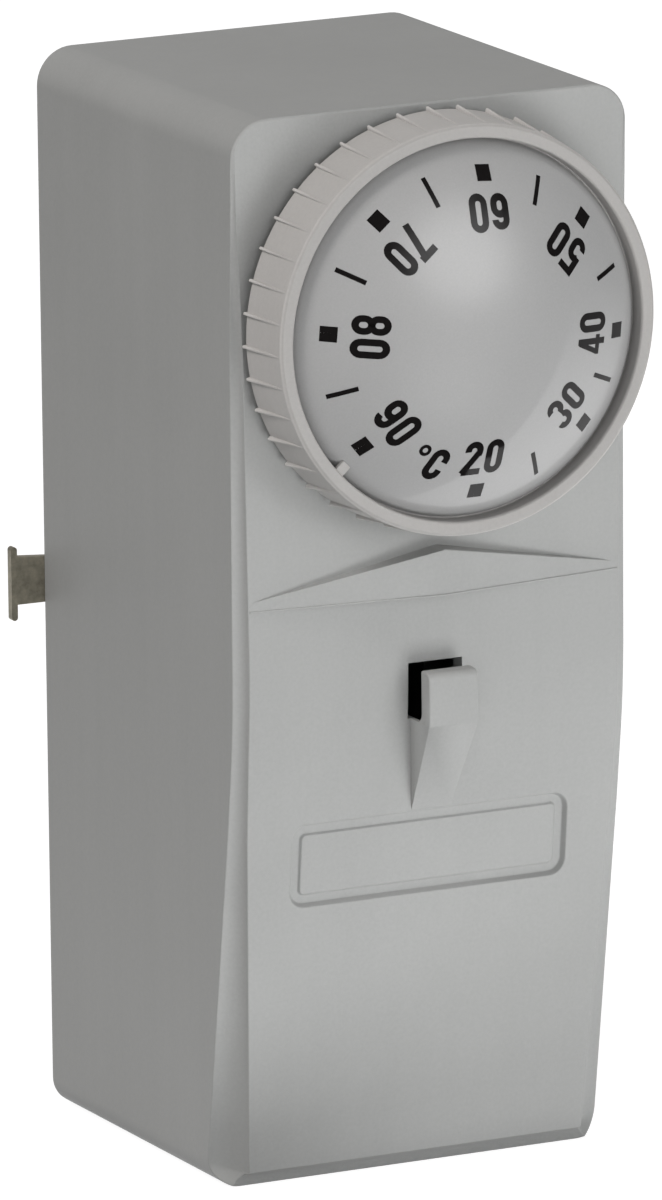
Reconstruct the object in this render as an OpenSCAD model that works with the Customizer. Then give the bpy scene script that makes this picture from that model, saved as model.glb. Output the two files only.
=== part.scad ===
// Strap-on pipe thermostat with a ribbed setting knob and a domed dial.
// Millimetres. +Z is up, the dial faces -Y, and the pipe runs up the back.
// Inside the modules, y = 0 is the upper front plane of the cover and z = 0 is its flat foot.
// placed() then puts the origin under the middle of the whole object.

/* [Cover] */
// Width of the cover
body_w = 45; // [44:0.5:50]
// Height of the cover
body_h = 113.4; // [112:0.1:120]
// Depth of the cover, from the upper front plane to the rear edge
body_d = 46.2; // [46:0.1:52]
// Wall thickness of the cover
wall = 2; // [1.8:0.1:2.2]
// Radius of the long top edges
top_r = 4; // [3:0.5:5]
// Radius of the long bottom edges
foot_r = 3; // [2:0.25:4]
// Width of the slanted band along the foot of the front face
toe_band = 1.65; // [1.2:0.05:2.2]
// Width of the slanted band at the sides of the front face, at the crease
edge_band = 1.3; // [1:0.1:1.6]
// Width that the side bands gain for each millimetre down the lower front
band_spread = 0.048; // [0:0.004:0.06]
// Width of the slanted band along the top of the front face
top_band = 0.5; // [0.3:0.1:1]
// Angle at which the lower front leans back
lean = 6.4; // [4:0.2:7]

/* [Front details] */
// Height of the crease under the index mark
crease_z = 62.4; // [62:0.1:65]
// Rise of the index mark, from the crease to its tip
mark_h = 4.8; // [4:0.1:6]
// How far the tip of the index mark stands out
mark_out = 2.3; // [1:0.1:2.5]
// Width of the hook and of the opening behind it
hook_w = 6.2; // [5.4:0.1:7]
// Height of the opening behind the hook
slot_h = 5.9; // [5:0.1:7]
// Width of the label recess
label_w = 31.8; // [26:0.2:34]
// Height of the label recess
label_h = 9.1; // [7:0.1:11]

/* [Knob and dial] */
// Radius of the knob at its rim
knob_r = 21.3; // [20.5:0.1:21.5]
// How far the rim stands off the upper front plane
rim_out = 8.4; // [8:0.1:9.5]
// Number of grip ribs
rib_count = 40; // [30:1:48]
// Radius of the sphere that the dial is part of
dial_sphere_r = 31.75; // [30:0.25:36]
// How far the middle of the dial stands off the upper front plane
dial_out = 13.9; // [13.8:0.1:14.6]
// Angle that the knob turns, from the lowest to the highest setting
knob_turn = 309; // [280:1:315]

/* [Back] */
// How far the contact plate stands behind the cover
contact_out = 4.7; // [4.5:0.1:6]
// Overall width over the two strap lugs
lug_span = 52.6; // [52.2:0.1:58]
// Height of a strap lug's head
lug_head_h = 7.9; // [7:0.1:9]

/* [Hidden] */

$fn = 64;
eps = 0.05;
fit_gap = 0.05; // radial clearance of a running fit
loose = 0.2; // clearance between plastic parts

// Places that the rest is worked out from
rear_y = body_d + contact_out;
front_y = (dial_out - rear_y) / 2;
knob_z = body_h - 22.25;
lug_z = body_h / 2;
cover_screw_x = 15.5;

// Front line: upright above, then bent over a large radius, then leaning back
bend_reach = 6;
bend_r = bend_reach / tan(lean / 2);
bend_z = 51 + bend_reach;
bend_steps = 8;

// The whole object is made about the front plane and moved once
module placed() { translate([0, front_y, 0]) children(); }

// Local z runs forwards out of the dial, local y runs up
module facing(x = 0, y = 0, z = knob_z) { translate([x, y, z]) rotate([90, 0, 0]) children(); }

// Rod along the same direction, from one height off the front plane to another
module rod(r, from, to) { translate([0, 0, from]) cylinder(r = r, h = to - from); }

// Hexagon across flats, as a bar
module hex(across, from, to) {
    translate([0, 0, from]) cylinder(d = across / cos(30), h = to - from, $fn = 6);
}

// Upright bar with a given box
module block(x0, x1, y0, y1, z0, z1) { translate([x0, y0, z0]) cube([x1 - x0, y1 - y0, z1 - z0]); }

module both_sides() {
    children();
    mirror([1, 0, 0]) children();
}

// Cross-headed screw, head towards local +z, the underside of the head at z = 0
module screw(shank_r, length, head_r, head_h) {
    difference() {
        union() {
            rod(shank_r, -length, 0);
            rod(head_r, 0, head_h);
        }
        for (a = [0, 90])
            rotate([0, 0, a]) translate([-head_r * 0.6, -0.3, head_h * 0.45]) cube([head_r * 1.2, 0.6, head_h]);
    }
}

// Outline seen from the front: a rectangle with rounded corners, drawn t inside the cover's
module face_outline(t) {
    w = body_w / 2 - t;
    rt = top_r - t / 2;
    rf = max(foot_r - t, 0.5);
    top = body_h - t;
    translate([-w, t + rf]) square([2 * w, top - t - rf - rt]);
    translate([-w + rt, t + rf]) square([2 * (w - rt), top - t - rf]);
    translate([-w + rf, t]) square([2 * (w - rf), top - t - rt]);
    for (s = [-1, 1]) {
        translate([s * (w - rt), top - rt]) circle(rt);
        translate([s * (w - rf), t + rf]) circle(rf);
    }
}

// Points of the front line, t behind the outer skin, from the top of the bend down to height end_z
function bend_point(a, t) = [bend_r - (bend_r - t) * cos(a), bend_z - (bend_r - t) * sin(a)];
function line_y(z, t) = bend_point(lean, t)[0] + (bend_point(lean, t)[1] - z) * tan(lean);
function front_line(t) = [for (i = [0:bend_steps]) bend_point(lean * i / bend_steps, t)];

// Outline seen from the side, t inside the cover's
module side_outline(t, rear) {
    toe = t > 0 ? [[line_y(t, t), t]] : [[line_y(toe_band, 0), toe_band], [line_y(toe_band, 0) + toe_band, 0]];
    polygon(concat([[t, body_h]], front_line(t), toe, [[rear, t], [rear, body_h]]));
}

// Width of the slanted side band at a height: it tapers above the bend and spreads below it, smoothly
band_taper = 0.01;
band_blend = 16;
band_mid = 42;
function band_growth(d) = d <= -band_blend / 2 ? 0 : d >= band_blend / 2 ? d : pow(d + band_blend / 2, 2) / (2 * band_blend);
function band_w(z) = edge_band - band_taper * max(z - bend_z, 0) + band_spread * band_growth(band_mid - z);

// Everything inside the slanted band on the +X side
module inside_band(t) {
    reach = 2 * body_w;
    low = -5;
    function across(y, z) = (body_w / 2 - band_w(z) - (y - t)) / sqrt(2) - t;
    rotate([0, 0, -45]) rotate([90, 0, 0]) linear_extrude(height = 4 * body_w, center = true)
        polygon(concat(
            [[-reach, body_h + 5], [across(t, body_h + 5), body_h + 5]],
            [for (p = front_line(t)) [across(p[0], p[1]), p[1]]],
            [for (z = [42, 38, 34, low]) [across(line_y(z, t), z), z]],
            [[-reach, low]]));
}

// Rounded slab whose rim slopes in by slope from local z = 0 up to z = h
module sloped_slab(w, l, r, slope, h) {
    module ridge(half, length) {
        rotate([90, 0, 0]) linear_extrude(height = length, center = true)
            polygon([[-half, 0], [half, 0], [half - slope, h], [-half + slope, h]]);
    }
    ridge(w / 2, l - 2 * r);
    rotate([0, 0, 90]) ridge(l / 2, w - 2 * r);
    for (sx = [-1, 1], sy = [-1, 1])
        translate([sx * (w / 2 - r), sy * (l / 2 - r), 0]) cylinder(r1 = r, r2 = r - slope, h = h);
}

// Solid form of the housing, t inside its outer skin
module housing_form(t, rear) {
    below = 20;
    above = edge_band - top_band;
    beside = band_taper * (body_h - bend_z);
    intersection() {
        translate([0, rear, 0]) rotate([90, 0, 0]) linear_extrude(height = rear - t) face_outline(t);
        if (t == 0)
            union() {
                block(-body_w, body_w, edge_band, rear + 1, -below, body_h + below);
                translate([0, edge_band, (body_h + above - below) / 2]) rotate([90, 0, 0])
                    sloped_slab(body_w + 2 * beside, body_h + above + below, 3 + edge_band, edge_band, edge_band);
            }
        rotate([90, 0, 90]) linear_extrude(height = 3 * body_w, center = true) side_outline(t, rear + 2);
        inside_band(t);
        mirror([1, 0, 0]) inside_band(t);
    }
}

// Index mark: a shallow roof whose ridge stands mark_out proud, with a pointed upper edge
mark_half = 20.8;
mark_side_h = 0.9;
module index_mark() {
    root = 0.4;
    intersection() {
        translate([0, 0, crease_z]) linear_extrude(height = mark_h)
            polygon([[-mark_half, root], [-mark_half, 0], [0, -mark_out], [mark_half, 0], [mark_half, root]]);
        rotate([90, 0, 0]) linear_extrude(height = 10, center = true)
            polygon([[-mark_half - 1, crease_z - 1], [mark_half + 1, crease_z - 1], [mark_half + 1, crease_z + mark_side_h],
                [mark_half, crease_z + mark_side_h], [0, crease_z + mark_h], [-mark_half, crease_z + mark_side_h],
                [-mark_half - 1, crease_z + mark_side_h]]);
    }
}

// Hook below the index mark: a lip that opens upwards, in front of the pass-through opening
slot_z = 49.2;
hook_gap = 2.4;
hook_out = 4.2;
hook_flat_z = slot_z - 0.05;
hook_tip_z = slot_z - 10.1;
notch_r = 1.1;
module hook_profile() {
    round_r = 0.9;
    top_z = slot_z + slot_h - 0.35;
    difference() {
        union() {
            polygon([[1.4, hook_tip_z], [-hook_out, hook_flat_z], [-hook_out, top_z - round_r],
                [-hook_out + round_r, top_z], [1.4, top_z]]);
            translate([-hook_out + round_r, top_z - round_r]) circle(round_r);
        }
        translate([-hook_gap, slot_z + notch_r]) square([hook_gap + 2, slot_h]);
        translate([-hook_gap + notch_r, slot_z]) square([hook_gap + 2, slot_h]);
        translate([-hook_gap + notch_r, slot_z + notch_r]) circle(notch_r);
    }
}
module hook() {
    tip_w = 4.35;
    lip_w = hook_w - 0.6;
    intersection() {
        rotate([90, 0, 90]) linear_extrude(height = hook_w + 2, center = true) hook_profile();
        rotate([90, 0, 0]) linear_extrude(height = 20, center = true)
            polygon([[-tip_w / 2, hook_tip_z - 1], [tip_w / 2, hook_tip_z - 1], [lip_w / 2, hook_flat_z],
                [lip_w / 2, slot_z + slot_h], [-lip_w / 2, slot_z + slot_h], [-lip_w / 2, hook_flat_z]]);
    }
}

// Label recess: a sunk plate with a groove round it, square to the leaning front
label_z = 34.6;
label_depth = 0.65;
label_rise = 0.3;
label_groove = 1.15;
module label_recess() {
    over = 0.25;
    slope = 0.3;
    grow = over * slope / label_depth;
    translate([0, line_y(label_z, 0), label_z]) rotate([90 + lean, 0, 0]) difference() {
        translate([0, 0, over]) mirror([0, 0, 1])
            sloped_slab(label_w + 2 * grow, label_h + 2 * grow, 1.8 + grow, slope + grow, label_depth + over);
        translate([0, 0, -label_depth - eps])
            sloped_slab(label_w - 2 * label_groove, label_h - 2 * label_groove, 0.7, 0.2, label_rise + eps);
    }
}

// Stop between the cover and the knob: two segments in one ring, one on each
stop_in = 15;
stop_out = 19;
stop_half = (360 - knob_turn) / 4 - 0.25;
module ring_segment(middle, from, to) {
    rotate([0, 0, middle - stop_half]) translate([0, 0, from])
        rotate_extrude(angle = 2 * stop_half) translate([stop_in, 0]) square([stop_out - stop_in, to - from]);
}

grommet_y = 35;
grommet_r = 6.5;
module cover() color([0.62, 0.64, 0.63]) placed() {
    difference() {
        housing_shell();
        block(-hook_w / 2 + 0.8, hook_w / 2 - 0.8, -hook_gap + notch_r, 4, slot_z - 1.4, slot_z + 1);
    }
}
module housing_shell() {
    boss_r = 4.2;
    difference() {
        union() {
            difference() {
                housing_form(0, body_d);
                housing_form(wall, body_d + 5);
            }
            index_mark();
            facing() ring_segment(90, -0.5, 3.4);
            for (s = [-1, 1])
                facing(s * cover_screw_x) rod(boss_r, -5, -wall + 0.2);
        }
        label_recess();
        block(-hook_w / 2, hook_w / 2, -1, 4, slot_z, slot_z + slot_h);
        facing() rod(5.6, -8, 5);
        for (s = [-1, 1]) {
            facing(s * cover_screw_x) rod(1.7, -8, 1);
            facing(s * cover_screw_x) rod(3, -2.4, 1);
        }
        translate([0, grommet_y, -1]) cylinder(r = grommet_r, h = wall + 2);
        block(-grommet_r, grommet_r, grommet_y, body_d + 1, -1, wall + 1);
        translate([0, grommet_y, -1]) cylinder(r = grommet_r + 1.4, h = 2);
    }
    hook();
}

// Base plate, with posts for the cover screws, the mechanism and the clamp
plate_t = 3;
plate_y = body_d - plate_t;
trough_w = 8;
trough_t = 2.5;
frame_post_x = 8;
frame_rear_y = 36;
clamp_x = 10.5;
clamp_z = 14;
module post(x, z, r, from_y, hole_r) {
    difference() {
        facing(x, 0, z) rod(r, -plate_y - eps, -from_y);
        facing(x, 0, z) rod(hole_r, -from_y - 9, -from_y + 1);
    }
}
bracket_screw_x = 9;
bracket_rail = 4;
window_low = lug_z - 25.6;
window_high = lug_z + 25.6;
module base() color([0.5, 0.51, 0.5]) placed() {
    w = body_w / 2 - wall - loose;
    low = wall + loose;
    high = body_h - wall - loose;
    corner = 2;
    difference() {
        union() {
            block(-w, w, plate_y, body_d, low, high - corner);
            block(-w + corner, w - corner, plate_y, body_d, high - corner - eps, high);
            for (s = [-1, 1])
                facing(s * (w - corner), 0, high - corner) rod(corner, -body_d, -plate_y);
            block(-grommet_r + loose, grommet_r - loose, grommet_y + 5.5, body_d, loose, wall);
            block(-grommet_r + loose, grommet_r - loose, plate_y, body_d, wall - eps, low + 1);
            for (z = [window_low - bracket_rail, window_high + bracket_rail], s = [-1, 1])
                facing(s * bracket_screw_x, 0, z) rod(3.6, -plate_y - eps, -38);
        }
        block(-trough_w / 2, trough_w / 2, body_d - trough_t, body_d + 1, lug_z - 24, lug_z + 26);
        translate([0, body_d - 1.4, lug_z + 24.3]) rotate([90, 0, 0]) rod(1.2, -3, 6);
        for (s = [-1, 1])
            block(s * 12.25 - 2.2, s * 12.25 + 2.2, body_d - 0.85, body_d + 1, window_low - 0.2, window_high + 0.2);
        for (z = [window_low - bracket_rail, window_high + bracket_rail], s = [-1, 1])
            facing(s * bracket_screw_x, 0, z) rod(1.25, -body_d - 1, -39);
        translate([0, grommet_y, -1]) cylinder(r = grommet_r + 0.1, h = wall + 2);
        translate([0, grommet_y, -1]) cylinder(r = grommet_r + 1.4, h = 2);
    }
    for (s = [-1, 1]) {
        post(s * cover_screw_x, knob_z, 3.2, 5.2, 1.2);
        post(s * frame_post_x, knob_z + 7.5, 2.6, frame_rear_y, 1.2);
        post(s * clamp_x, clamp_z, 3, 33, 1.2);
    }
}

// Strap bracket: a folded sheet frame with a T-shaped lug at each side
sheet_t = 0.9;
neck_h = 4.6;
module strap_bracket() color([0.62, 0.63, 0.6]) placed() {
    half_w = 18;
    y0 = body_d;
    y1 = body_d + sheet_t;
    low = window_low - 2 * bracket_rail;
    high = window_high + 2 * bracket_rail;
    head_t = 0.7;
    head_x = lug_span / 2 - head_t;
    difference() {
        block(-half_w, half_w, y0, y1, low, high);
        block(-11.3, 11.3, y0 - 1, y1 + 1, window_low, window_high);
        for (z = [window_low - bracket_rail, window_high + bracket_rail], s = [-1, 1])
            facing(s * bracket_screw_x, 0, z) rod(1.7, -y1 - 1, 0);
    }
    both_sides() translate([0, y1, lug_z]) rotate([90, 0, 0]) linear_extrude(height = sheet_t) {
        polygon([[half_w - eps, -neck_h / 2], [head_x + eps, -neck_h / 2 + 0.05], [head_x + eps, neck_h / 2 + 0.6],
            [half_w - eps, neck_h / 2]]);
        translate([head_x, -(lug_head_h - head_t) / 2]) square([head_t, lug_head_h - head_t]);
        for (s = [-1, 1])
            translate([head_x + head_t / 2, s * (lug_head_h - head_t) / 2]) circle(head_t / 2);
    }
}

module bracket_screws() color([0.72, 0.72, 0.7]) placed()
    for (z = [window_low - bracket_rail, window_high + bracket_rail], s = [-1, 1])
        translate([s * bracket_screw_x, body_d + sheet_t, z]) rotate([-90, 0, 0]) screw(1.25, 8, 2.8, 1.9);

// Contact plate: a folded top-hat section with a shallow vee for the pipe
module contact_plate() color([0.72, 0.5, 0.34]) placed() {
    t = 0.8;
    hat = 11;
    lip = 14.2;
    y0 = body_d - t;
    vee = 1.3;
    translate([0, 0, window_low + 0.3]) linear_extrude(height = window_high - window_low - 0.6)
        polygon(concat(
            [[-lip, y0], [-hat + t, y0], [-hat + t, rear_y - t - 0.2], [0, rear_y - t - vee],
                [hat - t, rear_y - t - 0.2], [hat - t, y0], [lip, y0]],
            [[lip, y0 + t], [hat, y0 + t], [hat, rear_y], [hat - 1.6, rear_y], [0, rear_y - vee],
                [-hat + 1.6, rear_y], [-hat, rear_y], [-hat, y0 + t], [-lip, y0 + t]]));
}

bulb_r = 2.3;
bulb_y = rear_y - 0.8 - 1.3 - bulb_r;
bulb_low = lug_z - 22;
bulb_high = lug_z + 20.6;
bulb_neck = 0.4;
module sensing_bulb() color([0.75, 0.45, 0.3]) placed() translate([0, bulb_y, 0]) {
    translate([0, 0, bulb_low + bulb_r]) cylinder(r = bulb_r, h = bulb_high - bulb_low - 2 * bulb_r);
    translate([0, 0, bulb_low + bulb_r]) sphere(bulb_r);
    translate([0, 0, bulb_high - bulb_r]) sphere(bulb_r);
    translate([0, 0, bulb_high - bulb_r]) cylinder(r = 1.2, h = bulb_r + bulb_neck);
}

// Bowed leaf spring in the trough, which presses the bulb to the contact plate
module bulb_spring() color([0.7, 0.7, 0.68]) placed() {
    t = 0.2;
    floor_y = body_d - trough_t + 0.01;
    top_y = bulb_y - bulb_r - 0.02;
    rotate([90, 0, 90]) linear_extrude(height = 6, center = true)
        polygon([[floor_y, lug_z - 16], [floor_y + t, lug_z - 16], [top_y, lug_z - 4], [top_y, lug_z + 4],
            [floor_y + t, lug_z + 16], [floor_y, lug_z + 16], [top_y - t, lug_z + 4], [top_y - t, lug_z - 4]]);
}

// Capillary, in the plane x = 0: up out of the bulb, forwards through the plate, up, and forwards
capillary_r = 0.7;
capsule_rear = 38.6;
module quarter_bend(y, z, r, start) {
    translate([0, y, z]) rotate([90, 0, 90]) rotate([0, 0, start])
        rotate_extrude(angle = 90) translate([r, 0]) circle(capillary_r, $fn = 24);
}
module capillary() color([0.78, 0.5, 0.34]) placed() {
    r = 1.6;
    exit_z = lug_z + 24.3;
    up_y = 41.4;
    top_z = knob_z;
    translate([0, bulb_y, bulb_high + bulb_neck])
        cylinder(r = capillary_r, h = exit_z - r - bulb_high - bulb_neck, $fn = 24);
    quarter_bend(bulb_y - r, exit_z - r, r, 0);
    translate([0, bulb_y - r, exit_z]) rotate([90, 0, 0])
        cylinder(r = capillary_r, h = bulb_y - 2 * r - up_y, $fn = 24);
    quarter_bend(up_y + r, exit_z + r, r, 180);
    translate([0, up_y, exit_z + r]) cylinder(r = capillary_r, h = top_z - exit_z - 2 * r, $fn = 24);
    quarter_bend(up_y - r, top_z - r, r, 0);
    translate([0, up_y - r, top_z]) rotate([90, 0, 0])
        cylinder(r = capillary_r, h = up_y - r - capsule_rear + 0.01, $fn = 24);
}

// Expansion capsule: two crimped shells on a stud, fixed in the frame's rear wall
frame_t = 1.2;
module expansion_capsule() color([0.74, 0.72, 0.66]) placed() facing() {
    rod(2.5, -capsule_rear, -34);
    rod(5, -frame_rear_y + frame_t, -33.2);
    rod(9, -33.4, -32.2);
    rod(10, -32.5, -31.8);
    rod(9, -32.1, -31);
}

module capsule_nut() color([0.76, 0.74, 0.7]) placed() facing() difference() {
    hex(8, -frame_rear_y - 2.4, -frame_rear_y);
    rod(2.5, -frame_rear_y - 3, -30);
}

lever_y = 28;
lever_t = 1.2;
module push_pin() color([0.85, 0.82, 0.72]) placed() facing() {
    rod(1.5, -30.9, -lever_y - lever_t / 2 - 0.05);
}

// Mechanism frame: one sheet folded into a shelf, a front wall, a roof and a rear wall
frame_front_y = 6.4;
frame_half = 11;
shelf_z = knob_z - 11.2;
roof_z = knob_z + 11.8;
pin_z = knob_z + 8.2;
module mechanism_frame() color([0.66, 0.67, 0.68]) placed() difference() {
    union() {
        block(-frame_half, frame_half, frame_front_y, frame_front_y + frame_t, shelf_z, roof_z);
        block(-13.8, 13.8, frame_front_y, 24, shelf_z, shelf_z + frame_t);
        block(-frame_half, frame_half, frame_front_y, frame_rear_y, roof_z - frame_t, roof_z);
        block(-frame_half, frame_half, frame_rear_y - frame_t, frame_rear_y, knob_z - 6, roof_z);
        for (s = [-1, 1])
            block(s * 7 - 0.6, s * 7 + 0.6, lever_y - 3, lever_y + 3, pin_z - 2.4, roof_z);
    }
    facing() rod(4.8, -8, 0);
    facing() rod(2.6, -frame_rear_y - 1, -30);
    for (s = [-1, 1]) {
        facing(s * frame_post_x, 0, knob_z + 7.5) rod(1.6, -frame_rear_y - 1, -30);
        translate([s * 11.1, 17, shelf_z - 1]) cylinder(r = 1.6, h = 4);
    }
    translate([0, lever_y, pin_z]) rotate([0, 90, 0]) cylinder(r = 1, h = 40, center = true);
}

module frame_screws() color([0.72, 0.72, 0.7]) placed()
    for (s = [-1, 1])
        facing(s * frame_post_x, frame_rear_y - frame_t, knob_z + 7.5) screw(1.2, 8, 2.4, 1.3);

// Spindle: D-shaped at the front, a collar behind the bush, a thread at the rear
spindle_r = 3;
flat_x = 2;
module spindle() color([0.76, 0.76, 0.74]) placed() facing() {
    rod(spindle_r, -9.8, 0.6);
    difference() {
        rod(spindle_r, 0.5, 5.6);
        translate([flat_x, -5, 0.6]) cube([5, 10, 6]);
    }
    rod(4.4, -11.2, -10.4);
    rod(2.5, -20.4, -9.7);
}

module spindle_bush() color([0.8, 0.68, 0.4]) placed() facing() difference() {
    union() {
        rod(4.7, -8, -1.6);
        hex(12, -10.2, -frame_front_y - frame_t);
    }
    rod(spindle_r + fit_gap, -11, 0);
}

module bush_nut() color([0.8, 0.68, 0.4]) placed() facing() difference() {
    hex(12, -frame_front_y, -4.2);
    rod(4.7, -8, 0);
}

// Knob: a rim and skirt with grip ribs, a web, a hub with a D-shaped bore, a stop and a tab
rim_w = 1.35;
skirt_back = 1;
skirt_r = knob_r + 0.3;
seat_out = 6.4;
web_back = 4.9;
tab_angle = -138;
rib_phase = 2;
module grip_rib() {
    rib_h = 0.42;
    rib_t = 0.45;
    rotate([90, 0, 0]) linear_extrude(height = rib_t, center = true)
        polygon([[knob_r - 0.6, skirt_back], [skirt_r + rib_h, skirt_back], [knob_r, rim_out - 0.6],
            [knob_r - 0.6, rim_out - 0.6]]);
}
module knob() color([0.66, 0.65, 0.64]) placed() facing() {
    inner = knob_r - rim_w;
    hub_r = 4.7;
    difference() {
        union() {
            rotate_extrude($fn = 120) polygon([
                [0, web_back], [skirt_r - 1.5, web_back], [skirt_r - 1.4, skirt_back], [skirt_r, skirt_back],
                [knob_r, rim_out - 0.35], [knob_r - 0.1, rim_out - 0.1], [knob_r - 0.35, rim_out],
                [inner, rim_out], [inner - 0.15, rim_out - 0.2], [inner - 0.2, seat_out], [0, seat_out]]);
            rod(hub_r, -1, web_back + eps);
            for (i = [0:rib_count - 1])
                rotate([0, 0, rib_phase + i * 360 / rib_count]) grip_rib();
            ring_segment(90 - 2 * stop_half - 0.5, 1.2, web_back + eps);
            rotate([0, 0, tab_angle]) translate([inner - 1.35, -0.55, rim_out - 0.9]) cube([1.3, 1.1, 0.6]);
        }
        difference() {
            rod(spindle_r + 0.02, -2, 5.7);
            translate([flat_x + 0.35, -5, 0.6]) cube([5, 10, 8]);
        }
    }
}

module knob_clip() color([0.7, 0.7, 0.7]) placed() facing()
    translate([flat_x + 0.03, -1.7, 0.8]) cube([0.29, 3.4, 4.6]);

// Dial disc: a thin dome on the knob's seat, notched where the tab locates it
module dial_disc() color([0.7, 0.7, 0.69]) placed() facing() {
    disc_r = knob_r - rim_w - 0.35;
    shell = 1.1;
    back = dial_out - dial_sphere_r;
    edge_out = back + sqrt(dial_sphere_r * dial_sphere_r - disc_r * disc_r);
    difference() {
        union() {
            intersection() {
                translate([0, 0, back]) sphere(dial_sphere_r, $fn = 160);
                rod(disc_r, edge_out - 0.4, 20);
            }
            rod(disc_r, seat_out + 0.02, edge_out - 0.35);
        }
        translate([0, 0, back]) sphere(dial_sphere_r - shell, $fn = 160);
        rod(disc_r - 1.5, 0, edge_out - 0.6);
        rotate([0, 0, tab_angle]) translate([disc_r - 1.3, -0.8, edge_out - 0.5]) cube([4, 1.6, 4]);
    }
}

// Range nut: a plate that slides along the thread, kept from turning by the frame's roof
nut_y = 12.4;
nut_t = 3;
module range_nut() color([0.8, 0.68, 0.4]) placed() difference() {
    union() {
        block(-5, 5, nut_y, nut_y + nut_t, knob_z - 6, roof_z - frame_t - 0.3);
        facing() rod(3.6, -nut_y - nut_t - 1, -nut_y - nut_t);
    }
    facing() rod(2.5 + fit_gap, -40, 0);
}

// Range spring: a coil between the range nut and the lever
spring_wire_r = 0.55;
spring_r = 4.4;
spring_turns = 5;
spring_from = nut_y + nut_t + spring_wire_r + 0.05;
spring_to = lever_y - lever_t / 2 - spring_wire_r - 0.6;
function coil_point(a, b) = let (
    y = spring_from + (spring_to - spring_from) * a / (360 * spring_turns),
    r = spring_r + spring_wire_r * cos(b))
    [r * cos(a), y + spring_wire_r * sin(b), r * sin(a)];
module range_spring() color([0.6, 0.6, 0.62]) placed() translate([0, 0, knob_z]) {
    step = 20;
    sides = 8;
    rings = 360 * spring_turns / step;
    polyhedron(
        points = [for (i = [0:rings], k = [0:sides - 1]) coil_point(i * step, k * 360 / sides)],
        faces = concat(
            [for (i = [0:rings - 1], k = [0:sides - 1]) let (n = (k + 1) % sides)
                [i * sides + k, (i + 1) * sides + k, (i + 1) * sides + n, i * sides + n]],
            [[for (k = [0:sides - 1]) k], [for (k = [0:sides - 1]) rings * sides + sides - 1 - k]]));
}

// Lever: hangs from its pin, between the capsule and the switch
lever_low = knob_z - 17.4;
module lever() color([0.7, 0.71, 0.72]) placed() difference() {
    union() {
        block(-4.5, 4.5, lever_y - lever_t / 2, lever_y + lever_t / 2, lever_low, pin_z);
        translate([0, lever_y, pin_z]) rotate([0, 90, 0]) cylinder(r = 1.9, h = 12.4, center = true);
    }
    translate([0, lever_y, pin_z]) rotate([0, 90, 0]) cylinder(r = 1 + fit_gap, h = 40, center = true);
}

module lever_pin() color([0.75, 0.75, 0.76]) placed()
    translate([0, lever_y, pin_z]) rotate([0, 90, 0]) {
        cylinder(r = 1, h = 17, center = true);
        translate([0, 0, 7.65]) cylinder(r = 1.5, h = 0.85);
    }

// Snap switch under the frame's shelf, its button towards the lever
switch_top = shelf_z;
switch_h = 10.3;
switch_y0 = 8;
switch_y1 = 23.9;
button_z = switch_top - switch_h / 2;
module switch_body() color([0.16, 0.16, 0.17]) placed() difference() {
    block(-13.9, 13.9, switch_y0, switch_y1, switch_top - switch_h, switch_top);
    for (s = [-1, 1])
        translate([s * 11.1, 17, switch_top - switch_h - 1]) cylinder(r = 1.55, h = switch_h + 2);
    translate([0, switch_y1 - 4, button_z]) rotate([-90, 0, 0]) cylinder(r = 1.75, h = 5);
}

module switch_button() color([0.75, 0.2, 0.16]) placed()
    translate([0, switch_y1 - 1.8, button_z]) rotate([-90, 0, 0])
        cylinder(r = 1.7, h = lever_y - lever_t / 2 - 0.05 - switch_y1 + 1.8);

module switch_screws() color([0.72, 0.72, 0.7]) placed()
    for (s = [-1, 1])
        translate([s * 11.1, 17, shelf_z + frame_t]) screw(1.5, 9, 2.7, 1.6);

// Three blades below the switch, each with a clamp screw facing the front
module terminal_places() { for (x = [-8.6, 0, 8.6]) translate([x, 13, switch_top - switch_h]) children(); }
module switch_terminals() color([0.8, 0.66, 0.36]) placed() terminal_places() difference() {
    block(-3, 3, 0, 1, -9.5, 0);
    translate([0, 0, -5.2]) rotate([90, 0, 0]) cylinder(r = 1.5, h = 6, center = true);
}
module terminal_screws() color([0.76, 0.74, 0.68]) placed() terminal_places()
    translate([0, 0, -5.2]) rotate([90, 0, 0]) screw(1.5, 4, 2.6, 1.6);

earth_x = -13;
earth_z = 42;
module earth_terminal() color([0.8, 0.66, 0.36]) placed() difference() {
    union() {
        block(earth_x - 3.5, earth_x + 3.5, plate_y - 1, plate_y, earth_z - 6, earth_z + 6);
        block(earth_x - 3.5, earth_x + 3.5, plate_y - 5, plate_y, earth_z + 5, earth_z + 6);
    }
    facing(earth_x, 0, earth_z - 1) rod(1.6, -body_d, 0);
}
module earth_screw() color([0.72, 0.72, 0.7]) placed()
    facing(earth_x, plate_y - 1, earth_z - 1) screw(1.55, 1, 3, 1.8);

module cable_clamp() color([0.2, 0.2, 0.21]) placed() difference() {
    block(-14, 14, 28.5, 33, clamp_z - 3.5, clamp_z + 3.5);
    for (s = [-1, 1])
        facing(s * clamp_x, 0, clamp_z) rod(1.5, -40, 0);
    translate([0, grommet_y + 0.2, 0]) cylinder(r = 4.4, h = 3 * clamp_z);
}
module clamp_screws() color([0.72, 0.72, 0.7]) placed()
    for (s = [-1, 1])
        facing(s * clamp_x, 28.5, clamp_z) screw(1.2, 10, 2.4, 1.6);

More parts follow.
